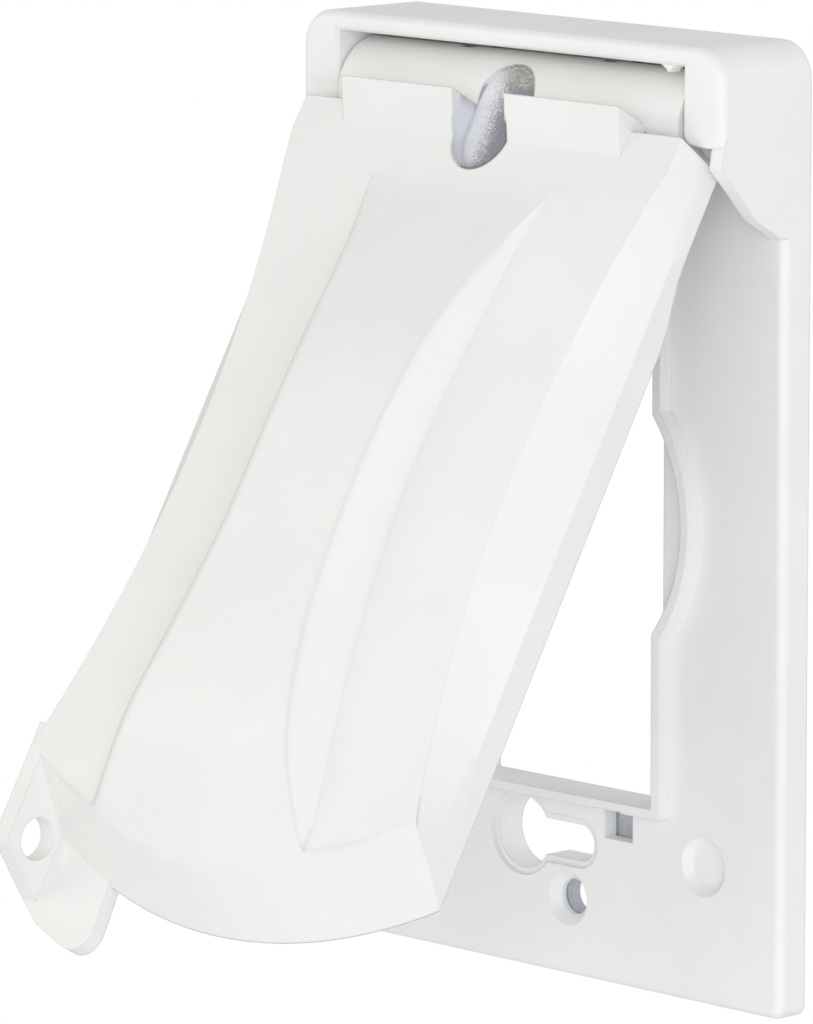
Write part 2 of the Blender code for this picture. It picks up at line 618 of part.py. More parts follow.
def polar(radius, angle):
    """A point round the hinge's axis in u and h: 0 points down the lid, 90 outwards."""
    return (radius * math.cos(math.radians(angle)), radius * math.sin(math.radians(angle)))


def sector(inner, outer, start, end):
    steps = CIRCLE_STEPS // 2
    outline = [polar(outer, start + (end - start) * i / steps) for i in range(steps + 1)]
    outline += [polar(inner, end + (start - end) * i / steps) for i in range(steps + 1)]
    return outline


def add_lid(parent):
    """One casting: the waisted dome with its panel, barrel, stop bars, seal rib and lock tab."""
    lid = dome("lid", 0, 0, parts, parent)
    cavity = dome("lid_cavity", LID_WALL, CAVITY_PAST_RIM, cutters, parent)
    combine(cavity, 'INTERSECT', skirt("cavity_skirt", LID_WALL, parent))
    combine(lid, 'INTERSECT', skirt("lid_skirt", 0, parent))
    combine(lid, 'DIFFERENCE', cavity)

    rib_outlines = [[(x, AXIS_Z - z) for x, z in opening_outline(grow)] for grow in (FOAM_RIB, 0)]
    rib = lid_plate("seal_rib", rib_outlines, FOAM_BACK_H + TOUCH_GAP, ABOVE_LID_H, cutters, parent)
    combine(rib, 'INTERSECT', dome("rib_limit", LID_WALL / 2, CAVITY_PAST_RIM, cutters, parent))
    shell = lid_profile("barrel_shell", sector(BARREL_BORE, BARREL_RADIUS, *BARREL_ARC),
                        -BARREL_HALF_LENGTH, BARREL_HALF_LENGTH, cutters, parent)
    start = BARREL_ARC[0] + KNUCKLE_SETBACK
    end = BARREL_ARC[1] - KNUCKLE_SETBACK
    steps = CIRCLE_STEPS // 2
    knuckle_rim = (BARREL_BORE + BARREL_RADIUS) / 2
    knuckle_outline = [polar(knuckle_rim, start + (end - start) * i / steps) for i in range(steps + 1)]
    knuckle_outline += [polar(KNUCKLE_RADIUS, end + (360 + start - end) * i / steps) for i in range(steps + 1)]
    middle_knuckle = lid_profile("middle_knuckle", knuckle_outline, -MIDDLE_KNUCKLE_HALF, MIDDLE_KNUCKLE_HALF,
                                 cutters, parent)
    end_knuckle = lid_profile("end_knuckle", knuckle_outline, BARREL_HALF_LENGTH - END_KNUCKLE,
                              BARREL_HALF_LENGTH, cutters, parent)
    pad = lid_plate("notch_pad", [rectangle((-NOTCH_PAD_HALF, NOTCH_PAD_HALF), NOTCH_PAD_U)], *NOTCH_PAD_H,
                    cutters, parent)
    bar = lid_profile("stop_bar", BAR_PROFILE, *BAR_X, cutters, parent)
    fin_foot = (FIN_FOOT_U, TAB_FRONT_H)
    fin_outline = [(FIN_ROOT_U, CREST_H - FIN_STEP), (FIN_TIP[0], CREST_H - 2 * FIN_STEP)]
    fin_outline += arc(FIN_TIP, FIN_TIP_RADIUS, *FIN_TIP_ARC, CORNER_STEPS)
    fin_outline += [fin_foot, (FIN_FOOT_U, TAB_BACK_H), (skirt_u(LID_HALF_WIDTH, LID_WALL), TAB_BACK_H),
                    (FIN_ROOT_U, RIM_H + FIN_ROOT_RISE)]
    fin = lid_profile("lock_fin", fin_outline, *FIN_X, cutters, parent)
    flange_outline = FLANGE_EDGE + arc(FLANGE_TIP, FLANGE_TIP_RADIUS, *FLANGE_TIP_ARC, CORNER_STEPS) + [FLANGE_INNER]
    flange_outline += [(x, skirt_u(x, LID_WALL))
                       for x in [FLANGE_INNER[0] + (FIN_X[0] - FLANGE_INNER[0]) * i / 4 for i in range(5)]]
    flange = lid_plate("lock_flange", [flange_outline], TAB_BACK_H, TAB_FRONT_H, cutters, parent)
    combine(lid, 'UNION', rib, shell, middle_knuckle, end_knuckle, mirrored(end_knuckle), pad, bar,
            mirrored(bar), fin, flange)

    notch_round = NOTCH_HALF_WIDTH
    notch_outline = arc((0, NOTCH_U[1] - notch_round), notch_round, 0, 180, CIRCLE_STEPS // 2)
    notch_outline += arc((0, NOTCH_U[0] + notch_round), notch_round, 180, 360, CIRCLE_STEPS // 2)
    notch = lid_plate("notch", [notch_outline], NOTCH_FLOOR_H, ABOVE_LID_H, cutters, parent)
    bore = lid_profile("pin_bore", circle((0, 0), PIN_RADIUS + RUNNING_GAP), -BARREL_HALF_LENGTH - PAST,
                       BARREL_HALF_LENGTH + PAST, cutters, parent)
    lock_hole = lid_profile("lock_hole", circle(LOCK_HOLE, LOCK_HOLE_RADIUS), FIN_X[0] - PAST, FIN_X[1] + PAST,
                            cutters, parent)
    leg_slot = lid_profile("leg_slot", sector(BARREL_BORE - PAST, BARREL_RADIUS + PAST, *SPRING_SLOT_ARC),
                           SPRING_START_X - SPRING_SLOT_HALF, SPRING_START_X + SPRING_SLOT_HALF, cutters, parent)
    combine(lid, 'DIFFERENCE', notch, bore, lock_hole, leg_slot, mirrored(leg_slot))
    finish(lid, new_material("lid_coat", COAT, 0.42, 0.0))


def add_pin(parent):
    pin = prism("hinge_pin", [circle((AXIS_Y, AXIS_Z), PIN_RADIUS)], -PIN_HALF_LENGTH, PIN_HALF_LENGTH, 'X',
                parts, parent)
    finish(pin, new_material("pin_steel", STEEL, 0.35, 1.0))


def add_springs(parent):
    """Torsion springs: one leg up the plate's face, a coil round the pin, one leg over the barrel's edge."""
    edge_angle = REST_OPENING + BARREL_ARC[1]
    leg_offset = SPRING_WIRE + RUNNING_GAP
    coil_end = edge_angle + math.degrees(math.asin(leg_offset / SPRING_RADIUS))
    sweep = coil_end - 270 + 360 * SPRING_FULL_TURNS
    steps = round(sweep / 360 * SPRING_STEPS_PER_TURN)
    wall_y = -PLATE_DEPTH - SPRING_WIRE - RUNNING_GAP
    path = [(SPRING_START_X, wall_y, AXIS_Z + SPRING_WALL_LEG)]
    for i in range(steps + 1):
        u, h = polar(SPRING_RADIUS, 270 + sweep * i / steps)
        x = SPRING_START_X + (SPRING_END_X - SPRING_START_X) * i / steps
        path.append((x, AXIS_Y - h, AXIS_Z - u))
    along = polar(SPRING_LID_LEG, edge_angle)
    aside = polar(leg_offset, edge_angle + 90)
    path.append((SPRING_END_X, AXIS_Y - along[1] - aside[1], AXIS_Z - along[0] - aside[0]))
    curve = bpy.data.curves.new("spring_right", 'CURVE')
    curve.dimensions = '3D'
    curve.bevel_depth = SPRING_WIRE
    curve.bevel_resolution = 2
    curve.use_fill_caps = True
    spline = curve.splines.new('POLY')
    spline.points.add(len(path) - 1)
    for point, place in zip(spline.points, path):
        point.co = (*place, 1)
    right = solid("spring_right", curve_mesh("spring_right", curve), parts, parent)
    left = mirrored(right)
    left.name = "spring_left"
    steel = new_material("spring_steel", STEEL, 0.3, 1.0)
    finish(right, steel)
    finish(left, steel)


def add_seals(root, lid_axis):
    """Foam: a ring in the lid that meets the collar, and a sheet in the plate's hollow back."""
    foam = new_material("seal_foam", FOAM, 0.9, 0.0)
    ring = [[(x, AXIS_Z - z) for x, z in opening_outline(grow)] for grow in (FOAM_OUTSIDE, -FOAM_INSIDE)]
    finish(lid_plate("lid_gasket", ring, FOAM_FACE_H, FOAM_BACK_H, parts, lid_axis), foam)

    margin = PLATE_WALL + TOUCH_GAP
    outer = rounded_rectangle(PLATE_WIDTH / 2 - margin, PLATE_HEIGHT / 2 - margin, PLATE_BOTTOM_CORNER,
                              PLATE_TOP_CORNER - margin)
    half_x = OPENING_HALF_WIDTH + OPENING_WALL + TOUCH_GAP
    half_z = OPENING_HALF_HEIGHT + OPENING_WALL + TOUCH_GAP
    sheet_depth = PLATE_DEPTH - PLATE_SKIN - TOUCH_GAP
    sheet = prism("wall_gasket", [outer], -sheet_depth, 0, 'Y', parts, root)
    clear = HOLE_WALL + TOUCH_GAP
    holes = {
        "sheet_opening": rectangle((-half_x, half_x), (-half_z, half_z)),
        "sheet_keyhole": keyhole_outline(clear),
        "sheet_slot": top_slot_outline(clear),
        "sheet_screw_hole": circle((0, SCREW_HOLE_Z), SCREW_HOLE_RADIUS),
    }
    combine(sheet, 'DIFFERENCE', *[prism(name, [outline], -sheet_depth - PAST, PAST, 'Y', cutters, root)
                                   for name, outline in holes.items()])
    finish(sheet, foam)


clear_scene()
parts = new_collection("weatherproof_outlet_cover")
cutters = new_collection("forms_and_cutters")

plate_centre = bpy.data.objects.new("plate_centre", None)
parts.objects.link(plate_centre)
plate_centre.location.z = (PLATE_HEIGHT - PLATE_WALL) / 2
hinge_axis = bpy.data.objects.new("hinge_axis", None)
parts.objects.link(hinge_axis)
hinge_axis.parent = plate_centre
hinge_axis.location = (0, AXIS_Y, AXIS_Z)
hinge_axis.rotation_euler.x = math.radians(-REST_OPENING)

add_base_plate(plate_centre)
add_lid(hinge_axis)
add_pin(plate_centre)
add_springs(plate_centre)
add_seals(plate_centre, hinge_axis)
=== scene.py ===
"""Weatherproof outlet cover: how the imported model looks, and the studio shot of it."""

import json
import math

import bmesh
import bpy
from mathutils import Matrix, Vector


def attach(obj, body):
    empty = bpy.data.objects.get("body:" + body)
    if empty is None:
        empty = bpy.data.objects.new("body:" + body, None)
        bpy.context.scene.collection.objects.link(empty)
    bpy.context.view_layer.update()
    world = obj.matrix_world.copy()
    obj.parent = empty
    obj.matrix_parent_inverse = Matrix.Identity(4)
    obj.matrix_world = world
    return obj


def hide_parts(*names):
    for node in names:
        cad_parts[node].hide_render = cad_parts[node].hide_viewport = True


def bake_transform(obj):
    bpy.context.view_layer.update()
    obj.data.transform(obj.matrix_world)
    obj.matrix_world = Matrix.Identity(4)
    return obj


MM = 0.001

# Hinge and the lid's opening at rest, as the record gives them
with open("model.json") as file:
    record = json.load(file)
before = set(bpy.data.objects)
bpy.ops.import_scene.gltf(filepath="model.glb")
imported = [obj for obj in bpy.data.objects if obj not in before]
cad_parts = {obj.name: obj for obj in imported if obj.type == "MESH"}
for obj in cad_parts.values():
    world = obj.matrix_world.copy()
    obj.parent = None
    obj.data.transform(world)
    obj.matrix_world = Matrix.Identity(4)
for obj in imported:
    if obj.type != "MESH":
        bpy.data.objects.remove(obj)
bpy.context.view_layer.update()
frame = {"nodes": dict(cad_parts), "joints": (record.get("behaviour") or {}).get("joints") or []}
hinge = frame["joints"][0]
AXIS = Vector(hinge["pos_m"])
REST_OPENING = -math.radians(hinge["range_deg"][0])

# The lid's own terms, from the hinge's axis: X across the lid, U down it and H out of its face
TO_LID = Matrix(((1, 0, 0), (0, 0, -1), (0, -1, 0))) @ Matrix.Rotation(REST_OPENING, 3, 'X')
DOWN_LID = Vector((0, 1, 0))

# Castings' meshes: points that are one, and the turn above which two faces meet in an edge
SAME_POINT = 0.002 * MM
EDGE_ANGLE = math.radians(28)
FLAT_FACE_WEIGHT = 60

# Powder coat: size of its clouds, peel, grit and specks, and how softly it covers an edge
CLOUD_SIZE = 22 * MM
PEEL_SIZE = 0.9 * MM
GRIT_SIZE = 0.28 * MM
SPECK_SIZE = 0.45 * MM
SPECK_SHARE = 0.06
COAT_ROUGHNESS = 0.40
COAT_RELIEF = 0.02 * MM
EDGE_ROUND = 0.28 * MM
BEVEL_SAMPLES = 6

# Notch between the stop bars, with worn coat over bare metal: its outline, its depth and its edges
NOTCH_HALF_WIDTH = 4.4 * MM
NOTCH_U = (-2.5 * MM, 11.6 * MM)
NOTCH_H = (5.2 * MM, 9.4 * MM)
NOTCH_RIM = (0.15 * MM, 0.45 * MM)
NOTCH_FLOOR_FADE = 0.2 * MM
NOTCH_TOP_FADE = 0.5 * MM
NOTCH_ROUND = 2.8 * MM

# Wear in the notch: where the coat thins across it, a fade from light at the left to dark at the right
# that is partly painted shade, where it is brushed down it, and the marks' sizes
THINNING_AND_SHADE_X = (-4.2 * MM, 1.98 * MM)
BRUSHED_U = (-0.3 * MM, 0.7 * MM)
WEAR_SIZE = 2 * MM
GRAIN_SIZE = 0.24 * MM
BRUSH_LINE_SIZE = 0.9 * MM
BRUSH_SLANT = 0.5
BRUSH_LENGTH = 6

# Lid's round lower end: one cone from its foot to the panel
END_CENTRE_U = 38.05 * MM
END_FOOT_RADIUS = 68.8 * MM
END_FOOT_H = -0.43 * MM
END_TAPER = 0.8
END_REACH_U = 9 * MM
END_STEPS = 30

# Steeper band that the solid's end has in place of the cone's upper part, and how points on it are told
BAND_FOOT_H = 6.2 * MM
BAND_TAPER = 1.9
BAND_TOP_H = 8.8 * MM
BAND_TOP_TAPER = 0.06
BAND_NEAR = 0.06 * MM
LEVEL_NEAR = 0.02 * MM
PANEL_NEAR_U = 1 * MM
CREASE_ANGLE = math.radians(8)
CREST_END_X = 32.6 * MM
CREST_END_DROP = 1 * MM
TAB_ROOT_X = -30.9 * MM
TAB_FACE_H = 7.95 * MM
TAB_FACE_NEAR = 0.03 * MM
SLIVER = 0.5 * MM

# Crease where the lid's face meets its lower end: where it lies, and how softly it turns
CREASE_RADIUS = (60 * MM, 64.5 * MM)
CREASE_END_X = 29 * MM
CREASE_FADE = 2 * MM
CREASE_ROUND = 2.0 * MM

# Raised panel: where its edges lie, and how softly they turn
PANEL_TOP_U = 15 * MM
PANEL_EDGE_H = 9.5 * MM
PANEL_REACH_X = 24 * MM
PANEL_FADE_H = 0.6 * MM
PANEL_FADE = 1.5 * MM
PANEL_ROUND = 2.0 * MM

# Camera, fitted to the photograph: angles in degrees, lengths in metres, lens in millimetres
CAMERA_AZIMUTH = 46.65
CAMERA_ELEVATION = 9.131
CAMERA_DISTANCE = 976.627 * MM
CAMERA_RIGHT = -22.627 * MM
CAMERA_UP = -1.541 * MM
PLATE_CENTRE_Z = 57.05 * MM
LENS = 284.97
SENSOR_WIDTH = 36
NEAREST_SEEN = 0.05
FARTHEST_SEEN = 20

# Studio: square soft lamps all at one distance, in metres, in a pale room
LAMP_DISTANCE = 1.0
LAMP_SIZE = 0.6
ROOM_LEVEL = 0.605

# Colours
LID_WHITE = (0.90, 0.895, 0.875)
# The plate's white is lighter than the lid's, though both are one coat: painted light that stands in for
# light the lamps do not give the plate
PLATE_WHITE_WITH_PAINTED_LIGHT = (0.92, 0.92, 0.905)
# Thin coat in the notch, made lighter against the shade of its recess: partly painted light
THIN_COAT_WITH_PAINTED_LIGHT = (0.84, 0.85, 0.885)
BARE_METAL = (0.25, 0.255, 0.29)
BRUSHED_METAL = (0.36, 0.35, 0.32)
STEEL = (0.60, 0.60, 0.58)
FOAM = (0.60, 0.62, 0.645)


class Value:
    """A shader socket that takes part in ordinary sums."""

    def __init__(self, look, socket):
        self.look = look
        self.socket = socket

    def maths(self, operation, *others):
        values = {i: other for i, other in enumerate((self,) + others)}
        return self.look.node("ShaderNodeMath", {"operation": operation}, values).out()

    def __add__(self, other):
        return self.maths("ADD", other)

    __radd__ = __add__

    def __mul__(self, other):
        return self.maths("MULTIPLY", other)

    def __sub__(self, other):
        return self.maths("SUBTRACT", other)

    def __rsub__(self, other):
        return (self * -1) + other

    def __abs__(self):
        return self.maths("ABSOLUTE")

    def step(self, low, high):
        """0 below low, 1 above high, and a smooth rise between."""
        values = {"Value": self, "From Min": low, "From Max": high}
        settings = {"interpolation_type": "SMOOTHSTEP"}
        return self.look.node("ShaderNodeMapRange", settings, values).out()

    def reach(self, other):
        """The length of a line that runs this far one way and the other value across."""
        return (self * self + other * other).maths("SQRT")


class Part:
    """One node of a look, with its outputs as values."""

    def __init__(self, look, node):
        self.look = look
        self.node = node

    def out(self, name=0):
        return Value(self.look, self.node.outputs[name])


class Look:
    """A material in the making."""

    def __init__(self, name):
        self.material = bpy.data.materials.new(name)
        self.material.use_nodes = True
        self.tree = self.material.node_tree
        self.shader = self.tree.nodes["Principled BSDF"]

    def node(self, kind, settings=None, values=None):
        """A new node with its settings, and with a value or a plain number in each input."""
        made = self.tree.nodes.new(kind)
        for key, setting in (settings or {}).items():
            setattr(made, key, setting)
        for key, value in (values or {}).items():
            self.join(made.inputs[key], value)
        return Part(self, made)

    def join(self, target, value):
        if isinstance(value, Value):
            self.tree.links.new(value.socket, target)
        else:
            target.default_value = value

    def place(self):
        return self.node("ShaderNodeTexCoord").out("Object")

    def noise(self, place, size, detail):
        """Noise whose blotches are about as wide as size."""
        values = {"Vector": place, "Scale": 1 / size, "Detail": detail, "Roughness": 0.6}
        return self.node("ShaderNodeTexNoise", None, values).out()

    def blend(self, share, first, second):
        """A colour between two."""
        made = self.node("ShaderNodeMix", {"data_type": "RGBA"})
        sockets = made.node.inputs
        for socket, value in zip((sockets[0], sockets[6], sockets[7]), (share, first, second)):
            self.join(socket, value)
        return made.out(2)

    def soft_edges(self, radius):
        return self.node("ShaderNodeBevel", {"samples": BEVEL_SAMPLES}, {"Radius": radius}).out()

    def bump(self, height, distance, strength, normal=None):
        values = {"Height": height, "Distance": distance, "Strength": strength}
        if normal:
            values["Normal"] = normal
        return self.node("ShaderNodeBump", None, values).out()

    def set(self, **values):
        """Give the shader's inputs their values, and hand over the finished material."""
        for name, value in values.items():
            self.join(self.shader.inputs[name.replace("_", " ")], value)
        return self.material


def tint(colour, factor=1.0):
    """A colour made darker or lighter, as a shader wants it."""
    return (*[channel * factor for channel in colour], 1.0)


def coat(name, white, bare_notch=False):
    """White powder coat: faint clouds, peel and specks, and on the lid the worn notch, whose colour is
    partly painted light and shade.
    """
    look = Look(name)
    place = look.place()
    cloud = look.noise(place, CLOUD_SIZE, 3)
    peel = look.noise(place, PEEL_SIZE, 2)
    grit = look.noise(place, GRIT_SIZE, 1)
    specks = look.noise(place, SPECK_SIZE, 0).step(0.80, 0.84)
    shade = look.blend(cloud.step(0.3, 0.7), tint(white, 0.975), tint(white, 1.01))
    colour = look.blend(specks * SPECK_SHARE, shade, tint(white, 0.55))
    rough = COAT_ROUGHNESS + (cloud - 0.5) * 0.10 + (grit - 0.5) * 0.06
    radius = EDGE_ROUND
    if bare_notch:
        across, down, height = lid_place(look, place)
        notch, thinning_and_shade, brushed = notch_wear(look, place, across, down, height)
        metal = notch_metal(look, place, across, down, thinning_and_shade, brushed)
        colour = look.blend(notch, colour, metal)
        rough = rough + notch * thinning_and_shade * -0.08
        radius = lid_rounding(across, down, height, notch * (1 - brushed))
    relief = peel * 0.75 + grit * 0.25
    return look.set(Base_Color=colour, Roughness=rough,
                    Normal=look.bump(relief, COAT_RELIEF, 0.4, look.soft_edges(radius)))


def lid_place(look, place):
    """How far across the lid, down it and out from the hinge's axis."""
    turned = look.node("ShaderNodeMapping", {"vector_type": "TEXTURE"}, {
        "Vector": place, "Location": AXIS, "Rotation": (-REST_OPENING, 0, 0)}).out()
    axes = look.node("ShaderNodeSeparateXYZ", None, {"Vector": turned})
    return axes.out("X"), axes.out("Z") * -1, axes.out("Y") * -1


def notch_wear(look, place, across, down, height):
    """Where the notch is, how far its coat has thinned across it, a fade that also paints shade from
    light at the left to dark at the right, and its brushed upper end.
    """
    middle = (NOTCH_U[0] + NOTCH_U[1]) / 2
    straight = (NOTCH_U[1] - NOTCH_U[0]) / 2 - NOTCH_HALF_WIDTH
    past = (abs(down - middle) - straight).maths("MAXIMUM", 0.0)
    rim_low, rim_high = [NOTCH_HALF_WIDTH + rim for rim in NOTCH_RIM]
    inside = 1 - across.reach(past).step(rim_low, rim_high)
    floor, top = NOTCH_H
    low = 1 - height.step(top - NOTCH_TOP_FADE, top)
    high = height.step(floor - NOTCH_FLOOR_FADE, floor)
    wobble = (look.noise(place, WEAR_SIZE, 2) - 0.5) * WEAR_SIZE
    # Lighter at the notch's left, darker at its right: the coat thinning to bare metal, and in part
    # painted shade
    thinning_and_shade = (across + wobble).step(*THINNING_AND_SHADE_X)
    brushed = 1 - (down + wobble).step(*BRUSHED_U)
    return inside * low * high, thinning_and_shade, brushed


def notch_metal(look, place, across, down, thinning_and_shade, brushed):
    """The notch's colour: thin coat, painted lighter against the shade of its recess, that breaks up into
    bare metal towards the right, where it also stands for painted shade, with brush lines at its end.
    """
    grain = look.noise(place, GRAIN_SIZE, 2) - 0.5
    # Bare metal shows more towards the notch's right, which also paints the shade there
    bare_and_shade = (thinning_and_shade * 1.1 + grain * 1.76).step(0.1, 1.0)
    metal = look.blend(bare_and_shade, tint(THIN_COAT_WITH_PAINTED_LIGHT), tint(BARE_METAL))
    drawn = {"X": across, "Y": (down + across * BRUSH_SLANT) * BRUSH_LENGTH}
    slanted = look.node("ShaderNodeCombineXYZ", None, drawn).out()
    lines = look.noise(slanted, BRUSH_LINE_SIZE, 2).step(0.3, 0.7)
    streaks = look.blend(lines, tint(BRUSHED_METAL, 0.5), tint(BRUSHED_METAL, 1.7))
    return look.blend(brushed * thinning_and_shade, metal, streaks)


def lid_rounding(across, down, height, trough):
    """How softly the lid's edges turn: most in the notch's trough, at the crease and round the panel."""
    from_end = across.reach(down - END_CENTRE_U)
    crease = from_end.step(CREASE_RADIUS[0] - CREASE_FADE, CREASE_RADIUS[0])
    crease = crease - from_end.step(CREASE_RADIUS[1], CREASE_RADIUS[1] + CREASE_FADE)
    crease = crease * (1 - abs(across).step(CREASE_END_X - CREASE_FADE, CREASE_END_X))
    panel = height.step(PANEL_EDGE_H - PANEL_FADE_H, PANEL_EDGE_H + PANEL_FADE_H)
    panel = panel * down.step(PANEL_TOP_U - PANEL_FADE, PANEL_TOP_U + PANEL_FADE)
    panel = panel * (1 - abs(across).step(PANEL_REACH_X - PANEL_FADE, PANEL_REACH_X + PANEL_FADE))
    radius = EDGE_ROUND + trough * (NOTCH_ROUND - EDGE_ROUND)
    radius = radius + crease * (CREASE_ROUND - EDGE_ROUND)
    return radius + panel * (1 - crease) * (PANEL_ROUND - EDGE_ROUND)


def steel(name):
    """Drawn spring and pin steel, with fine lines along it."""
    look = Look(name)
    drawn = {"Vector": look.place(), "Scale": (0.08, 1, 1)}
    lines = look.noise(look.node("ShaderNodeMapping", None, drawn).out(), 0.25 * MM, 2)
    colour = look.blend(lines, tint(STEEL, 0.85), tint(STEEL, 1.1))
    return look.set(Base_Color=colour, Metallic=1.0, Roughness=0.24 + lines * 0.16,
                    Normal=look.bump(lines, 0.01 * MM, 0.4))


def foam(name):
    """Grey closed-cell foam."""
    look = Look(name)
    place = look.place()
    cell_size = {"Vector": place, "Scale": 1 / (0.45 * MM)}
    cells = look.node("ShaderNodeTexVoronoi", None, cell_size).out("Distance")
    cloud = look.noise(place, 6 * MM, 2)
    colour = look.blend(cloud, tint(FOAM, 0.85), tint(FOAM, 1.15))
    colour = look.blend(cells.step(0.45, 0.8) * 0.4, colour, tint(FOAM, 0.6))
    return look.set(Base_Color=colour, Roughness=0.88 + (cloud - 0.5) * 0.1,
                    Normal=look.bump(cells, 0.12 * MM, 0.6))


def merged_copy(node, name):
    """A CAD node's mesh with its doubled points merged."""
    form = bmesh.new()
    form.from_mesh(frame["nodes"][node].data)
    bmesh.ops.remove_doubles(form, verts=form.verts, dist=SAME_POINT)
    mesh = bpy.data.meshes.new(name)
    form.to_mesh(mesh)
    form.free()
    carried = mesh.attributes.get("custom_normal")
    if carried:
        mesh.attributes.remove(carried)
    mesh.shade_smooth()
    piece = bpy.data.objects.new(name, mesh)
    bpy.context.scene.collection.objects.link(piece)
    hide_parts(node)
    return piece


def from_end_centre(place):
    return math.hypot(place.x, place.y - END_CENTRE_U)


def end_radius(height):
    """The radius of the lid's lower end, as one cone."""
    return END_FOOT_RADIUS - END_TAPER * (height - END_FOOT_H)


def band_radius(height):
    """The same where the solid has its steeper band."""
    foot = end_radius(BAND_FOOT_H)
    if height < BAND_TOP_H:
        return foot - BAND_TAPER * (height - BAND_FOOT_H)
    return foot - BAND_TAPER * (BAND_TOP_H - BAND_FOOT_H) - BAND_TOP_TAPER * (height - BAND_TOP_H)


def on_band(place):
    """Whether a point of the lid lies on the steeper band, above its foot."""
    if place.y <= END_CENTRE_U or place.z <= BAND_FOOT_H + LEVEL_NEAR:
        return False
    return abs(from_end_centre(place) - band_radius(place.z)) < BAND_NEAR


def is_on_face(point, beside, place, band):
    """Whether a point lies on the lid's face, up the lid from the band."""
    if point in band or place[point].z <= BAND_FOOT_H:
        return False
    if place[point].y >= place[beside].y + PANEL_NEAR_U:
        return False
    return from_end_centre(place[point]) < end_radius(BAND_FOOT_H) - BAND_NEAR


def way_down(point, place, band):
    """Which way the lid's face runs on from a point of the band, if its face ends there."""
    here = place[point]
    if here.x < TAB_ROOT_X and abs(here.z - TAB_FACE_H) < TAB_FACE_NEAR:
        return DOWN_LID
    faces = [face for face in point.link_faces
             if any(is_on_face(corner, point, place, band) for corner in face.verts)]
    if not faces:
        return None
    if abs(here.x) > CREST_END_X and here.z < BAND_TOP_H - CREST_END_DROP:
        return DOWN_LID
    lines = [edge for edge in point.link_edges
             if edge.other_vert(point) not in band and len(edge.link_faces) == 2
             and all(face in faces for face in edge.link_faces)]
    sharpest = max(lines, key=lambda edge: edge.calc_face_angle(), default=None)
    if sharpest and sharpest.calc_face_angle() > CREASE_ANGLE:
        way = here - place[sharpest.other_vert(point)]
    else:
        normal = TO_LID @ max(faces, key=lambda face: face.calc_area()).normal
        way = DOWN_LID - normal * normal.y
    way.normalize()
    return -way if way.y < 0 else way


def run_on(start, way):
    """Where a line down the lid meets the lower end's cone."""
    near, far = 0.0, END_REACH_U
    for _ in range(END_STEPS):
        middle = (near + far) / 2
        place = start + way * middle
        if from_end_centre(place) < end_radius(place.z):
            near = middle
        else:
            far = middle
    return start + way * near


def on_cone(start, crease):
    """A point of the band that no face ends at, put on the cone half way up to the crease."""
    angle = math.atan2(start.x, start.y - END_CENTRE_U)
    nearest = min(crease, key=lambda c: abs(math.atan2(c.x, c.y - END_CENTRE_U) - angle))
    height = (nearest.z + BAND_FOOT_H) / 2
    radius = end_radius(height)
    return Vector((radius * math.sin(angle), END_CENTRE_U + radius * math.cos(angle), height))


def lengthen_end(mesh):
    """Let the lid's panel and shoulders run on down to the lower end's cone."""
    form = bmesh.new()
    form.from_mesh(mesh)
    form.normal_update()
    place = {point: TO_LID @ (point.co - AXIS) for point in form.verts}
    band = [point for point in form.verts if on_band(place[point])]
    ways = {}
    for point in band:
        way = way_down(point, place, band)
        if way is not None:
            ways[point] = way
    moved = {}
    for point in band:
        nearest = min(ways, key=lambda other: (place[other] - place[point]).length)
        if point in ways or abs(place[point].z - BAND_TOP_H) > LEVEL_NEAR:
            moved[point] = run_on(place[point], ways[nearest])
    crease = list(moved.values())
    for point in band:
        if point not in moved:
            moved[point] = on_cone(place[point], crease)
        point.co = TO_LID.inverted() @ moved[point] + AXIS
    # The highest points come first, so that the crease keeps its place where a sliver closes
    band.sort(key=lambda point: -moved[point].z)
    bmesh.ops.remove_doubles(form, verts=band, dist=SLIVER)
    form.to_mesh(mesh)
    form.free()


def casting(node, name, body, material):
    """A casting, smooth over its curves and crisp at its edges."""
    piece = merged_copy(node, name)
    if node == "lid":
        lengthen_end(piece.data)
    piece.data.set_sharp_from_angle(angle=EDGE_ANGLE)
    normals = piece.modifiers.new("flat_faces", 'WEIGHTED_NORMAL')
    normals.weight = FLAT_FACE_WEIGHT
    normals.keep_sharp = True
    piece.data.materials.append(material)
    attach(piece, body)


def spring(node, name, material):
    """A spring that winds between the plate and the lid, baked in place with its material and tied to
    neither body.
    """
    piece = merged_copy(node, name)
    piece.data.materials.append(material)
    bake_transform(piece)


def dress(node, material):
    """Give a CAD node that is shown as it is its material."""
    mesh = frame["nodes"][node].data
    mesh.materials.clear()
    mesh.materials.append(material)


def outward(azimuth, elevation):
    """The way out from the cover, in degrees: azimuth 0 is straight in front, 90 to the right."""
    around = math.radians(azimuth)
    rise = math.radians(elevation)
    return Vector((math.sin(around) * math.cos(rise), -math.cos(around) * math.cos(rise), math.sin(rise)))


def add_camera():
    """The photograph's camera."""
    back = outward(CAMERA_AZIMUTH, CAMERA_ELEVATION)
    right = outward(CAMERA_AZIMUTH + 90, 0)
    up = back.cross(right)
    camera = bpy.data.objects.new("camera", bpy.data.cameras.new("camera"))
    bpy.context.scene.collection.objects.link(camera)
    camera.data.lens = LENS
    camera.data.sensor_width = SENSOR_WIDTH
    camera.data.clip_start = NEAREST_SEEN
    camera.data.clip_end = FARTHEST_SEEN
    middle = Vector((0, 0, PLATE_CENTRE_Z))
    stand = middle + back * CAMERA_DISTANCE + right * CAMERA_RIGHT + up * CAMERA_UP
    turn = Matrix((right, up, back)).transposed().to_4x4()
    camera.matrix_world = Matrix.Translation(stand) @ turn
    bpy.context.scene.camera = camera


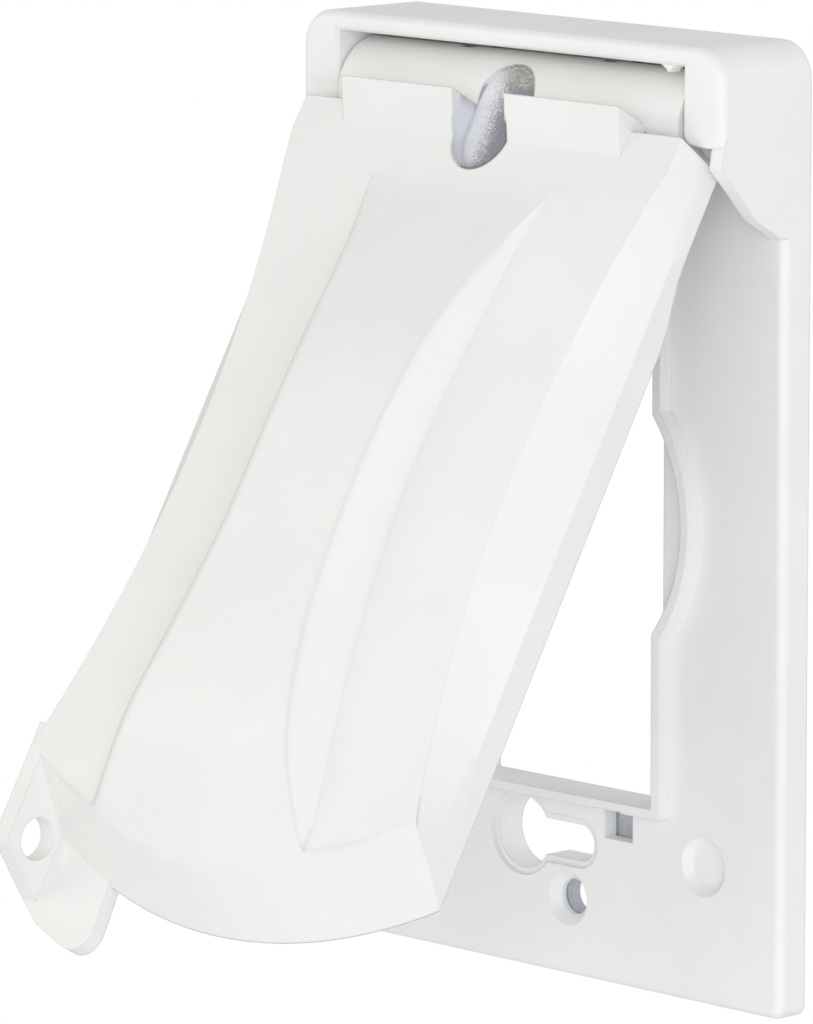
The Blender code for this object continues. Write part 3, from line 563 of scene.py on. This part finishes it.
def add_lamp(name, azimuth, elevation, power, colour=(1, 1, 1)):
    """A soft square lamp that looks at the cover."""
    out = outward(azimuth, elevation)
    lamp = bpy.data.objects.new(name, bpy.data.lights.new(name, 'AREA'))
    bpy.context.scene.collection.objects.link(lamp)
    lamp.data.size = LAMP_SIZE
    lamp.data.energy = power
    lamp.data.color = colour
    lamp.location = out * LAMP_DISTANCE + Vector((0, 0, PLATE_CENTRE_Z))
    lamp.rotation_euler = (-out).to_track_quat('-Z', 'Y').to_euler()


def add_world():
    """A pale room that the camera sees as plain white."""
    world = bpy.data.worlds.new("studio")
    world.use_nodes = True
    bpy.context.scene.world = world
    nodes = world.node_tree.nodes
    background = nodes["Background"]
    rays = nodes.new("ShaderNodeLightPath")
    seen = nodes.new("ShaderNodeMath")
    seen.operation = 'MAXIMUM'
    pick = nodes.new("ShaderNodeMix")
    pick.data_type = 'RGBA'
    pick.inputs[6].default_value = (ROOM_LEVEL, ROOM_LEVEL, ROOM_LEVEL, 1)
    pick.inputs[7].default_value = (1, 1, 1, 1)
    links = world.node_tree.links
    links.new(rays.outputs["Is Camera Ray"], seen.inputs[0])
    links.new(rays.outputs["Is Transmission Ray"], seen.inputs[1])
    links.new(seen.outputs[0], pick.inputs[0])
    links.new(pick.outputs[2], background.inputs["Color"])
    background.inputs["Strength"].default_value = 1.0


plate_look_with_painted_light = coat("plate_coat", PLATE_WHITE_WITH_PAINTED_LIGHT)
lid_look = coat("lid_coat", LID_WHITE, bare_notch=True)
steel_look = steel("steel")
foam_look = foam("foam")

casting("base_plate", "wall_plate", "base", plate_look_with_painted_light)
casting("lid", "lid_casting", "lid", lid_look)
spring("spring_left", "left_spring", steel_look)
spring("spring_right", "right_spring", steel_look)
dress("hinge_pin", steel_look)
dress("lid_gasket", foam_look)
dress("wall_gasket", foam_look)

add_world()
add_lamp("by_camera", 46, 10, 2.65, (0.96, 1.0, 1.09))
add_lamp("from_below", 30, -40, 1.6)
add_lamp("in_front", 0, 20, 0.6, (1.05, 1.0, 0.92))
add_lamp("left", -50, 20, 1.2, (1.06, 1.0, 0.90))
add_lamp("right", 120, 30, 1.3, (0.92, 1.0, 1.12))
add_camera()

bpy.context.scene.view_settings.view_transform = 'Standard'
